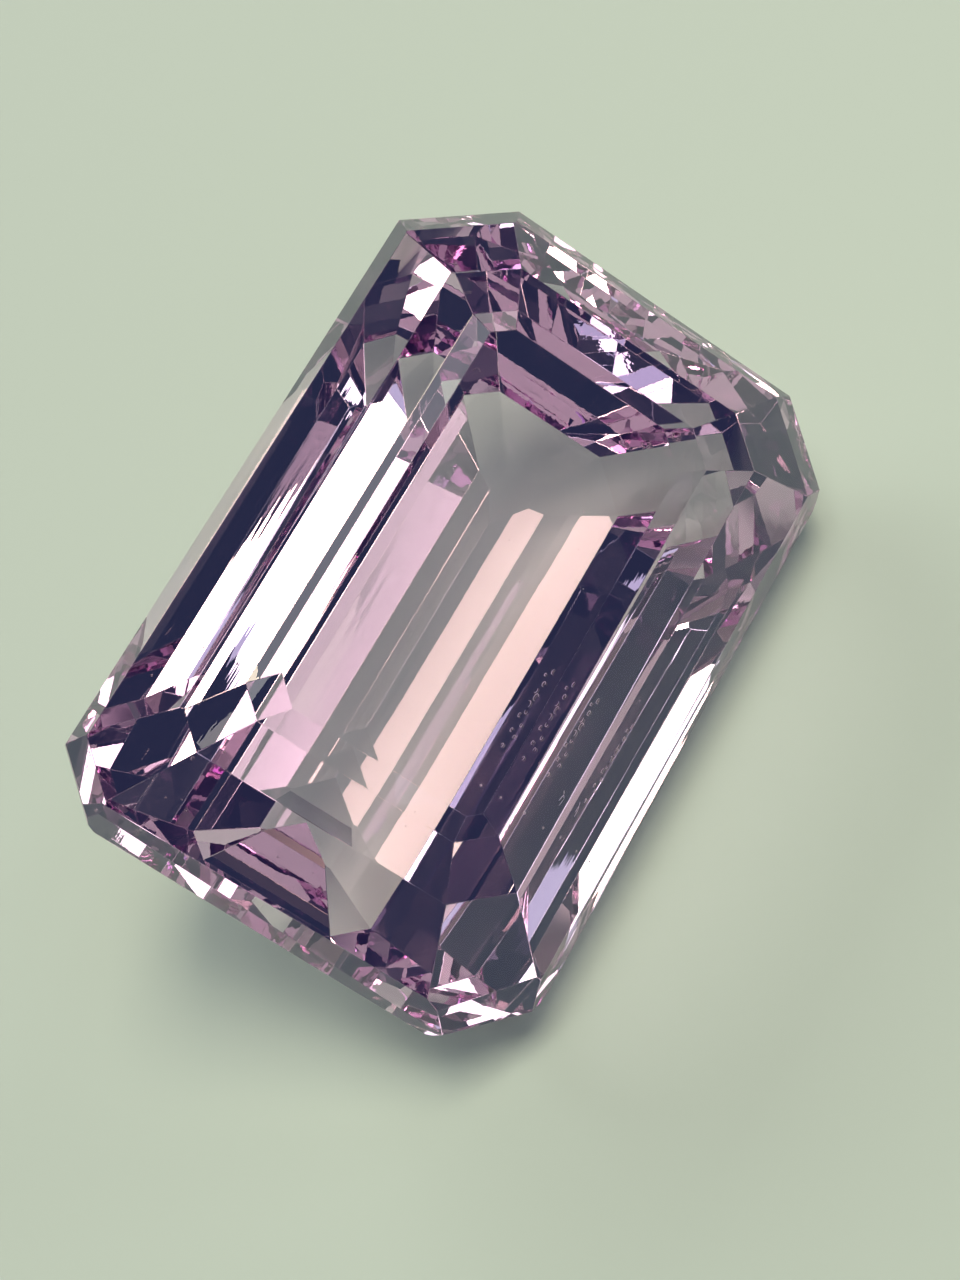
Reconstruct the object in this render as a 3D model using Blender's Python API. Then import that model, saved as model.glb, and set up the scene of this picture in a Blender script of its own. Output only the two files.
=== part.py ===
"""A loose kunzite: a natural crystal cut as an eight-sided step-cut stone, one solid.

Metres, +Z up. The stone rests on one of its pavilion facets, with its length along Y. The origin
is at the centre of its footprint box, on the surface that it lies on.
"""
import math
from collections import namedtuple

import bmesh
import bpy
from mathutils import Matrix, Vector

MM = 0.001

# Driving dimensions in millimetres, in the cutter's frame: the girdle plane is at height 0, the table
# faces up, and distances are measured from the stone's upright axis.
#
# Each side is cut as a run of flat facets that all face its azimuth. Its profile lists the level edges
# between them, from the keel up to the table, as pairs of (distance, height): the pavilion rows, the
# narrow upright wall of the girdle, then the crown rows. The stone was cut by hand, so no two sides
# are quite alike, and the two southern ends have rows that face a few degrees off the rest.
Side = namedtuple("Side", "azimuth profile")

TABLE_HEIGHT = 4.70

SIDES = {
    "east": Side(0.0, (
        (-0.34, -12.08), (1.39, -11.44), (3.94, -10.10), (6.56, -7.40), (8.50, -4.40), (10.30, -1.00),
        (10.30, -0.90), (9.15, 1.46), (6.15, 3.86), (4.37, 4.55), (3.48, 4.70))),
    "north east": Side(48.5, (
        (4.10, -12.08), (8.18, -10.10), (11.37, -7.40), (13.55, -4.40), (15.37, -0.60),
        (15.37, 0.00), (14.05, 1.46), (11.06, 3.86), (8.89, 4.55), (7.71, 4.70))),
    "north": Side(90.0, (
        (4.58, -12.08), (6.76, -11.44), (9.12, -10.10), (11.14, -7.40), (13.15, -4.47), (14.44, -0.60),
        (14.44, 0.00), (13.40, 1.46), (10.84, 3.86), (9.10, 4.55), (8.37, 4.70))),
    "north west": Side(129.7, (
        (4.31, -12.08), (8.88, -10.10), (11.66, -7.40), (13.77, -4.40), (15.16, -0.60),
        (15.16, 0.00), (14.19, 1.70), (11.77, 3.86), (10.02, 4.55), (9.26, 4.70))),
    "west": Side(180.0, (
        (0.34, -12.08), (1.88, -11.39), (4.06, -10.13), (6.60, -7.40), (8.60, -4.40), (10.10, -0.60),
        (10.10, 0.00), (9.62, 1.80), (7.49, 3.78), (6.05, 4.55), (5.18, 4.70))),
    "south west": Side(227.7, (
        (4.74, -12.08), (9.43, -10.10), (12.17, -7.40), (14.42, -4.40), (16.05, -0.60),
        (16.05, 0.00), (15.37, 1.70), (12.11, 3.86), (9.91, 4.55), (8.62, 4.70))),
    "south, pavilion": Side(270.0, (
        (5.34, -12.08), (6.94, -11.44), (9.88, -10.10), (11.64, -7.40), (13.24, -4.40), (14.70, -1.00))),
    "south, rim": Side(269.4, (
        (14.72, -1.00), (14.72, -0.90), (14.27, 0.60))),
    "south, crown": Side(270.0, (
        (14.24, 0.60), (13.77, 1.60), (10.75, 3.86), (8.82, 4.55), (7.82, 4.70))),
    "south east, pavilion": Side(316.7, (
        (4.18, -12.08), (8.77, -10.10), (11.50, -7.40), (13.62, -4.40), (15.25, -0.60))),
    "south east, rim": Side(313.6, (
        (15.54, -0.60), (15.54, 0.00), (14.30, 1.46))),
    "south east, crown": Side(309.7, (
        (14.47, 1.46), (10.90, 3.86), (8.77, 4.55), (7.93, 4.70))),
}

RESTING_SIDE = "east"
RESTING_ROW = 2            # the third pavilion row up from the keel, counted from 0

BLOCK_SIZE = 60.0          # edge of the rough block, larger than the stone every way
CUT_TOLERANCE = 0.0005     # corners nearer than this to a cutting plane count as lying on it

KUNZITE_PINK = (0.66, 0.42, 0.62)
KUNZITE_IOR = 1.665
POLISHED_ROUGHNESS = 0.0


def facet_plane(azimuth, lower, upper):
    """Return a point on the facet between two level edges, and its outward normal."""
    outward = Vector((math.cos(math.radians(azimuth)), math.sin(math.radians(azimuth)), 0.0))
    rise = upper[1] - lower[1]
    inset = lower[0] - upper[0]
    normal = (outward * rise + Vector((0.0, 0.0, inset))).normalized()
    point = outward * lower[0] + Vector((0.0, 0.0, lower[1]))
    return point, normal


def stone_planes():
    """List the planes of all facets: the table, then every side's from the keel up."""
    planes = [(Vector((0.0, 0.0, TABLE_HEIGHT)), Vector((0.0, 0.0, 1.0)))]
    for side in SIDES.values():
        for lower, upper in zip(side.profile, side.profile[1:]):
            planes.append(facet_plane(side.azimuth, lower, upper))
    return planes


def cut_facet(bm, point, normal):
    """Grind one flat facet: take away all that stands out beyond its plane, and close the cut."""
    bmesh.ops.bisect_plane(
        bm,
        geom=bm.verts[:] + bm.edges[:] + bm.faces[:],
        dist=CUT_TOLERANCE,
        plane_co=point,
        plane_no=normal,
        clear_outer=True,
    )
    open_edges = [edge for edge in bm.edges if edge.is_boundary]
    if open_edges:
        bmesh.ops.contextual_create(bm, geom=open_edges)


def resting_turn():
    """Return the turn about Y that lays the resting facet flat on the surface below."""
    lower, upper = SIDES[RESTING_SIDE].profile[RESTING_ROW:RESTING_ROW + 2]
    slope = math.atan2(upper[1] - lower[1], upper[0] - lower[0])
    return Matrix.Rotation(slope, 4, "Y")


def footprint_centre(bm):
    """Return the bottom centre of the mesh's own box."""
    low = Vector([min(vert.co[axis] for vert in bm.verts) for axis in range(3)])
    high = Vector([max(vert.co[axis] for vert in bm.verts) for axis in range(3)])
    return Vector(((low.x + high.x) / 2, (low.y + high.y) / 2, low.z))


def kunzite_material():
    """Clear lilac-pink crystal with a bright polish."""
    material = bpy.data.materials.new("kunzite")
    material.use_nodes = True
    surface = material.node_tree.nodes["Principled BSDF"]
    surface.inputs["Base Color"].default_value = (*KUNZITE_PINK, 1.0)
    surface.inputs["Metallic"].default_value = 0.0
    surface.inputs["Roughness"].default_value = POLISHED_ROUGHNESS
    surface.inputs["IOR"].default_value = KUNZITE_IOR
    surface.inputs["Transmission Weight"].default_value = 1.0
    return material


def kunzite_stone():
    """Cut the stone from a block, lay it on its resting facet and centre it over the origin."""
    bm = bmesh.new()
    bmesh.ops.create_cube(bm, size=BLOCK_SIZE)
    for point, normal in stone_planes():
        cut_facet(bm, point, normal)
    bm.transform(resting_turn())
    bm.transform(Matrix.Translation(-footprint_centre(bm)))
    bm.transform(Matrix.Scale(MM, 4))
    bmesh.ops.recalc_face_normals(bm, faces=bm.faces[:])
    mesh = bpy.data.meshes.new("kunzite_stone")
    bm.to_mesh(mesh)
    bm.free()
    mesh.materials.append(kunzite_material())
    stone = bpy.data.objects.new("kunzite_stone", mesh)
    bpy.context.scene.collection.objects.link(stone)
    return stone


for old_object in list(bpy.data.objects):
    bpy.data.objects.remove(old_object, do_unlink=True)

kunzite_stone()
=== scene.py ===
import math

import bmesh
import bpy
import numpy as np
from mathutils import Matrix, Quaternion, Vector


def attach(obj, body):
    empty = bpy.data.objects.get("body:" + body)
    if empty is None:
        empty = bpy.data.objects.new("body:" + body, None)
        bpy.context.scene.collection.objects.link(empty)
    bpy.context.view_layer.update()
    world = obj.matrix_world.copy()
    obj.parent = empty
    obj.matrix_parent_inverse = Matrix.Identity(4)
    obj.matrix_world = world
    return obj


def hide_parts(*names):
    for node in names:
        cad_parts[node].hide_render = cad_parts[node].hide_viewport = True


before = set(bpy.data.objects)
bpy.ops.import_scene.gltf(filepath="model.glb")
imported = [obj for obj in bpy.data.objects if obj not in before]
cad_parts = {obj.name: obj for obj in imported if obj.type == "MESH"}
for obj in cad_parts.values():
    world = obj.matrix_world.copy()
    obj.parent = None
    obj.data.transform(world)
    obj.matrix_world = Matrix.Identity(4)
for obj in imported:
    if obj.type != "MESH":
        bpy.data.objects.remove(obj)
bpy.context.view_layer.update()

MM = 0.001

# The camera, at the photograph's viewing angle: close above the stone, looking down past its
# south-east corner, and turned so that the stone lies aslant in the picture.
CAMERA_PLACE = (44.7 * MM, -17.7 * MM, 66.3 * MM)
CAMERA_TURN = (30.62, 25.01, 32.96)         # degrees
LENS_MM = 54.0
LONG_SIDE_MM = 36.0

lens = bpy.data.cameras.new("close_up_lens")
lens.lens = LENS_MM
lens.sensor_width = LONG_SIDE_MM
lens.clip_start = MM
camera = bpy.data.objects.new("camera", lens)
camera.location = CAMERA_PLACE
camera.rotation_euler = [math.radians(angle) for angle in CAMERA_TURN]
bpy.context.scene.collection.objects.link(camera)
bpy.context.scene.camera = camera


# The stone: natural kunzite, the lilac-pink gem variety of spodumene, in one piece. It was sawn,
# ground flat facet by facet on a lap and polished, and its facet junctions have worn a little since.
WEAR_WIDTH = 0.03 * MM
MERGE_DISTANCE = 0.001 * MM                 # corners of the cut stone nearer than this are one
FLAT_ANGLE = math.radians(0.3)              # faces that meet at less than this are one facet
CUT_TOLERANCE = 0.0001 * MM
SAME_PLANE = 0.999995                       # cosine above which two faces count as parallel
UPRIGHT = 0.01                              # cosine below which a face counts as square to the table
KUNZITE_IOR = 1.665
KUNZITE_LILAC = (0.66, 0.0, 0.60, 1.0)      # share of red, green and blue that isn't absorbed
ABSORPTION_DENSITY = 12.0                   # in a metre
TABLE_NORMAL = (0.7177, 0.0, 0.6964)
WEAR_ROUGHNESS = 0.2
GIRDLE_ROUGHNESS = 0.3
LAP_LINE_SCALE = (2500.0, 80.0, 2500.0)     # waves in a metre: fine across the stone, long along it
LAP_LINE_DEPTH = 0.0005 * MM


def linear_colour(hex_code):
    """Turn an sRGB hex colour to the linear colour that the shaders take, with full alpha."""
    channels = [int(hex_code[i:i + 2], 16) / 255 for i in (1, 3, 5)]
    return [c / 12.92 if c <= 0.04045 else ((c + 0.055) / 1.055) ** 2.4 for c in channels] + [1.0]


def add_node(material, kind, settings=None, links=None):
    """Add one node to a material, set its properties and plain input values, and link its inputs."""
    node = material.node_tree.nodes.new(kind)
    for name, value in (settings or {}).items():
        if name in node.inputs.keys() or isinstance(name, int):
            node.inputs[name].default_value = value
        else:
            setattr(node, name, value)
    for name, source in (links or {}).items():
        material.node_tree.links.new(source, node.inputs[name])
    return node


def new_material(name):
    """Start an empty node material and return it with its output node."""
    material = bpy.data.materials.new(name)
    material.use_nodes = True
    material.node_tree.nodes.clear()
    output = material.node_tree.nodes.new("ShaderNodeOutputMaterial")
    return material, output


def worn_stone_mesh(source, wear_width):
    """Copy the cut stone and take a hair's width off every facet junction.

    Each junction is cut by a plane across the mean of its two facets' normals. A strip of width w
    between facets that meet at an angle t lies w * tan(t / 2) / 2 below the sharp edge.
    """
    bm = bmesh.new()
    bm.from_mesh(source)
    bmesh.ops.remove_doubles(bm, verts=bm.verts[:], dist=MERGE_DISTANCE)
    bmesh.ops.dissolve_limit(bm, angle_limit=FLAT_ANGLE, verts=bm.verts[:], edges=bm.edges[:])
    cuts = []
    for edge in bm.edges:
        first, second = (face.normal for face in edge.link_faces)
        normal = (first + second).normalized()
        depth = wear_width * math.tan(first.angle(second) / 2) / 2
        cuts.append((edge.verts[0].co - normal * depth, normal))
    for point, normal in cuts:
        bmesh.ops.bisect_plane(
            bm,
            geom=bm.verts[:] + bm.edges[:] + bm.faces[:],
            dist=CUT_TOLERANCE,
            plane_co=point,
            plane_no=normal,
            clear_outer=True,
        )
        rim = [edge for edge in bm.edges if edge.is_boundary]
        if rim:
            bmesh.ops.contextual_create(bm, geom=rim)
    bmesh.ops.recalc_face_normals(bm, faces=bm.faces[:])
    mesh = bpy.data.meshes.new("kunzite")
    bm.to_mesh(mesh)
    bm.free()
    return mesh


def face_normals(mesh):
    """Return the normals of a mesh's faces as rows."""
    normals = np.empty(len(mesh.polygons) * 3)
    mesh.polygons.foreach_get("normal", normals)
    return normals.reshape(-1, 3)


def mark_dull_faces(mesh, source):
    """Write how dull each face is: the worn junctions, parallel to no facet, and the girdle wall."""
    normals = face_normals(mesh)
    worn = (normals @ face_normals(source).T).max(axis=1) < SAME_PLANE
    girdle = np.abs(normals @ np.array(TABLE_NORMAL)) < UPRIGHT
    dull = np.where(worn, WEAR_ROUGHNESS, np.where(girdle, GIRDLE_ROUGHNESS, 0.0))
    mesh.attributes.new("dull", "FLOAT", "FACE").data.foreach_set("value", dull.astype(np.float32))


def kunzite_material():
    """Clear spodumene: a high polish with faint lap lines, dull where worn, and lilac in depth."""
    material, output = new_material("polished_kunzite")
    dull = add_node(material, "ShaderNodeAttribute", {"attribute_name": "dull"})
    place = add_node(material, "ShaderNodeTexCoord")
    along = add_node(material, "ShaderNodeMapping", {"Scale": LAP_LINE_SCALE},
                     {"Vector": place.outputs["Object"]})
    lines = add_node(material, "ShaderNodeTexNoise", {"Scale": 1.0, "Detail": 2.0},
                     {"Vector": along.outputs[0]})
    relief = add_node(material, "ShaderNodeBump", {"Strength": 1.0, "Distance": LAP_LINE_DEPTH},
                      {"Height": lines.outputs[0]})
    surface = add_node(material, "ShaderNodeBsdfPrincipled",
                       {"Base Color": linear_colour("#ffffff"), "IOR": KUNZITE_IOR,
                        "Transmission Weight": 1.0},
                       {"Roughness": dull.outputs["Fac"], "Normal": relief.outputs[0]})
    depth = add_node(material, "ShaderNodeVolumeAbsorption",
                     {"Color": KUNZITE_LILAC, "Density": ABSORPTION_DENSITY})
    material.node_tree.links.new(surface.outputs[0], output.inputs["Surface"])
    material.node_tree.links.new(depth.outputs[0], output.inputs["Volume"])
    return material


cut_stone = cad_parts["kunzite_stone"].data
kunzite_mesh = worn_stone_mesh(cut_stone, WEAR_WIDTH)
mark_dull_faces(kunzite_mesh, cut_stone)
kunzite_mesh.materials.append(kunzite_material())
kunzite = bpy.data.objects.new("kunzite", kunzite_mesh)
bpy.context.scene.collection.objects.link(kunzite)
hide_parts("kunzite_stone")
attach(kunzite, "root")


# Inclusions: a trail of tiny curled healed cracks just above the facet that the stone rests on, a
# feather higher up, and a few pale grains. They grew in with the crystal. Lengths here are in mm.
TRAIL_START = (-2.1, 0.5)                   # x, y
TRAIL_END = (-2.2, -3.1)
TRAIL_CURLS = 12
TRAIL_SWAY = 0.18                           # how far the curls stand to either side in turn
TRAIL_SEED = 5
CURL_HEIGHT = 0.05
CURL_RADIUS = (0.04, 0.11)                  # the least and the most
CURL_SWEEP = (170, 320)                     # degrees, the least and the most
CURL_STRETCH = 1.6                          # a curl's length along the stone over its width
CURL_POINTS = 12
FEATHER = (                                 # the two ends of each stroke
    ((3.72, -4.62, 4.30), (3.98, -4.34, 4.46)), ((3.98, -4.34, 4.46), (3.80, -4.20, 4.40)),
    ((3.95, -4.80, 4.36), (4.18, -4.50, 4.52)), ((4.18, -4.50, 4.52), (4.02, -4.36, 4.50)))
GRAINS = (                                  # x, y, z and radius
    (-1.7, -5.1, 0.7, 0.055), (0.9, 4.2, 6.0, 0.03), (1.8, 1.4, 9.1, 0.025), (-3.1, 3.6, 5.2, 0.03),
    (2.6, -2.2, 7.3, 0.025), (-1.2, 6.1, 4.4, 0.03), (0.4, -7.3, 5.9, 0.03), (4.1, 2.3, 8.4, 0.02))
STROKE_POINTS = 6
THREAD_RADIUS = 0.016
THREAD_SIDES = 6
THREAD_PINCH = 0.35                         # radians of the sine wave left off at each end
THREAD_REFERENCE = (0.31, 0.17, 0.94)       # a direction that no thread runs in
CLOUD_SCALE = 4000.0                        # waves in a metre


def thread(points, radius):
    """Sweep a thin round thread through a row of points, with pinched ends. Returns verts and faces."""
    points = np.asarray(points, dtype=float)
    ahead = np.gradient(points, axis=0)
    ahead /= np.linalg.norm(ahead, axis=1, keepdims=True)
    across = np.cross(ahead, THREAD_REFERENCE)
    across /= np.linalg.norm(across, axis=1, keepdims=True)
    over = np.cross(ahead, across)
    turn = np.arange(THREAD_SIDES) * 2 * math.pi / THREAD_SIDES
    width = radius * np.sin(np.linspace(THREAD_PINCH, math.pi - THREAD_PINCH, len(points)))
    rings = across[:, None] * np.cos(turn)[None, :, None] + over[:, None] * np.sin(turn)[None, :, None]
    verts = (points[:, None] + rings * width[:, None, None]).reshape(-1, 3)
    faces = []
    for row in range(len(points) - 1):
        for side in range(THREAD_SIDES):
            after = (side + 1) % THREAD_SIDES
            low, high = row * THREAD_SIDES, (row + 1) * THREAD_SIDES
            faces.append((low + side, low + after, high + after, high + side))
    faces.append(tuple(range(THREAD_SIDES))[::-1])
    faces.append(tuple(range(len(verts) - THREAD_SIDES, len(verts))))
    return verts, faces


def trail_curls():
    """List the centre points of each curl in the trail, which sways from side to side."""
    draw = np.random.default_rng(TRAIL_SEED)
    curls = []
    for curl in range(TRAIL_CURLS):
        along = (curl + draw.uniform(-0.3, 0.3)) / (TRAIL_CURLS - 1)
        x, y = np.array(TRAIL_START) + along * np.subtract(TRAIL_END, TRAIL_START)
        x += TRAIL_SWAY * (-1) ** curl * draw.uniform(0.2, 1.2)
        radius = draw.uniform(*CURL_RADIUS)
        start = draw.uniform(0, 360)
        angle = np.radians(start + np.linspace(0, draw.uniform(*CURL_SWEEP), CURL_POINTS))
        curls.append(np.stack([x + radius * np.cos(angle),
                               y + radius * CURL_STRETCH * np.sin(angle),
                               np.full(CURL_POINTS, CURL_HEIGHT)], axis=1))
    return curls


def inclusion_paths():
    """List every thread's centre points and radius: the curls, the feather's strokes, the grains."""
    paths = [(curl, THREAD_RADIUS) for curl in trail_curls()]
    for start, end in FEATHER:
        paths.append((np.linspace(start, end, STROKE_POINTS), THREAD_RADIUS))
    for x, y, z, radius in GRAINS:
        paths.append((np.linspace((x, y - radius, z), (x, y + radius, z), STROKE_POINTS), radius))
    return paths


def healed_crack_material():
    """Milky white, a little cloudy."""
    material, output = new_material("healed_cracks")
    place = add_node(material, "ShaderNodeTexCoord")
    cloud = add_node(material, "ShaderNodeTexNoise", {"Scale": CLOUD_SCALE, "Detail": 2.0},
                     {"Vector": place.outputs["Object"]})
    tint = add_node(material, "ShaderNodeMix",
                    {"data_type": "RGBA", 6: linear_colour("#ffffff"), 7: linear_colour("#e2dcec")},
                    {0: cloud.outputs[0]})
    surface = add_node(material, "ShaderNodeBsdfPrincipled", {"Roughness": 0.5},
                       {"Base Color": tint.outputs[2]})
    material.node_tree.links.new(surface.outputs[0], output.inputs["Surface"])
    return material


inclusion_verts, inclusion_faces = [], []
for points, radius in inclusion_paths():
    verts, faces = thread(points, radius)
    offset = len(inclusion_verts)
    inclusion_verts.extend(map(tuple, verts * MM))
    inclusion_faces.extend(tuple(offset + index for index in face) for face in faces)
inclusion_mesh = bpy.data.meshes.new("inclusions")
inclusion_mesh.from_pydata(inclusion_verts, [], inclusion_faces)
inclusion_mesh.materials.append(healed_crack_material())
inclusions = bpy.data.objects.new("inclusions", inclusion_mesh)
bpy.context.scene.collection.objects.link(inclusions)
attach(inclusions, "root")


# The floor: a plain pale green matt sheet, wide enough to fill the picture. It lies a paper's grain
# below the stone, so that the light inside always meets the polished facet first.
FLOOR_HALF_WIDTH = 0.6
RESTING_GAP = 0.02 * MM

floor_mesh = bpy.data.meshes.new("floor")
corners = [(x * FLOOR_HALF_WIDTH, y * FLOOR_HALF_WIDTH, -RESTING_GAP)
           for x, y in ((-1, -1), (1, -1), (1, 1), (-1, 1))]
floor_mesh.from_pydata(corners, [], [(0, 1, 2, 3)])
paper, paper_output = new_material("matt_paper")
paper_surface = add_node(paper, "ShaderNodeBsdfPrincipled",
                         {"Base Color": linear_colour("#d3eae2"), "Roughness": 0.9})
paper.node_tree.links.new(paper_surface.outputs[0], paper_output.inputs["Surface"])
floor_mesh.materials.append(paper)
floor = bpy.data.objects.new("floor", floor_mesh)
bpy.context.scene.collection.objects.link(floor)


# The studio: square soft lights hung round the stone in a dim room. The broad ones to the north and
# west light the sheet under it, the narrow ones draw the bright bands along its facets.
LIGHT_DISTANCE = 0.5
LIGHT_BOUNCES = 24                          # light crosses the stone many times before it leaves


def soft_box(name, azimuth, elevation, roll, width, height, brightness, colour):
    """Hang a square light round the stone, facing it. All angles in degrees as the stone sees them.

    The brightness is that of the box's face, where 1 comes out as plain white in the picture.
    """
    light = bpy.data.lights.new(name, "AREA")
    light.shape = "RECTANGLE"
    light.size = 2 * LIGHT_DISTANCE * math.tan(math.radians(width / 2))
    light.size_y = 2 * LIGHT_DISTANCE * math.tan(math.radians(height / 2))
    light.energy = brightness * math.pi * light.size * light.size_y
    light.color = linear_colour(colour)[:3]
    lamp = bpy.data.objects.new(name, light)
    azimuth, elevation = math.radians(azimuth), math.radians(elevation)
    away = Vector((math.cos(azimuth) * math.cos(elevation),
                   math.sin(azimuth) * math.cos(elevation),
                   math.sin(elevation)))
    lamp.location = away * LIGHT_DISTANCE
    turn = away.to_track_quat("Z", "Y") @ Quaternion((0.0, 0.0, 1.0), math.radians(roll))
    lamp.rotation_euler = turn.to_euler()
    bpy.context.scene.collection.objects.link(lamp)


soft_box("ceiling", 20, 84, 0, 22, 18, 4.0, "#fff4e2")
soft_box("west_window", 168, 37, 5, 38, 22, 3.6, "#fff4e6")
soft_box("north_window", 37, 69, 0, 26, 15, 12.0, "#ffebcc")
soft_box("north_low", 62, 42, 0, 12, 9, 3.0, "#fff6ee")
soft_box("east_window", 17, 49, -23, 29, 5, 3.0, "#ffffff")
soft_box("east_strip", 14, 46, 24, 45, 3, 0.8, "#e6eeff")
soft_box("high_strip", 25, 58, -19, 20, 3, 2.2, "#ffffff")
soft_box("south_spot", 333, 59, 3, 14, 3, 3.0, "#fff6ee")
soft_box("low_spot", 43, 26, 20, 4, 4, 2.5, "#ffe2b8")

room = bpy.data.worlds.new("studio")
room.use_nodes = True
room.node_tree.nodes["Background"].inputs["Color"].default_value = linear_colour("#29334a")
room.node_tree.nodes["Background"].inputs["Strength"].default_value = 1.0

scene = bpy.context.scene
scene.world = room
scene.cycles.max_bounces = LIGHT_BOUNCES
scene.cycles.transmission_bounces = LIGHT_BOUNCES
scene.cycles.glossy_bounces = LIGHT_BOUNCES
scene.view_settings.view_transform = "Standard"
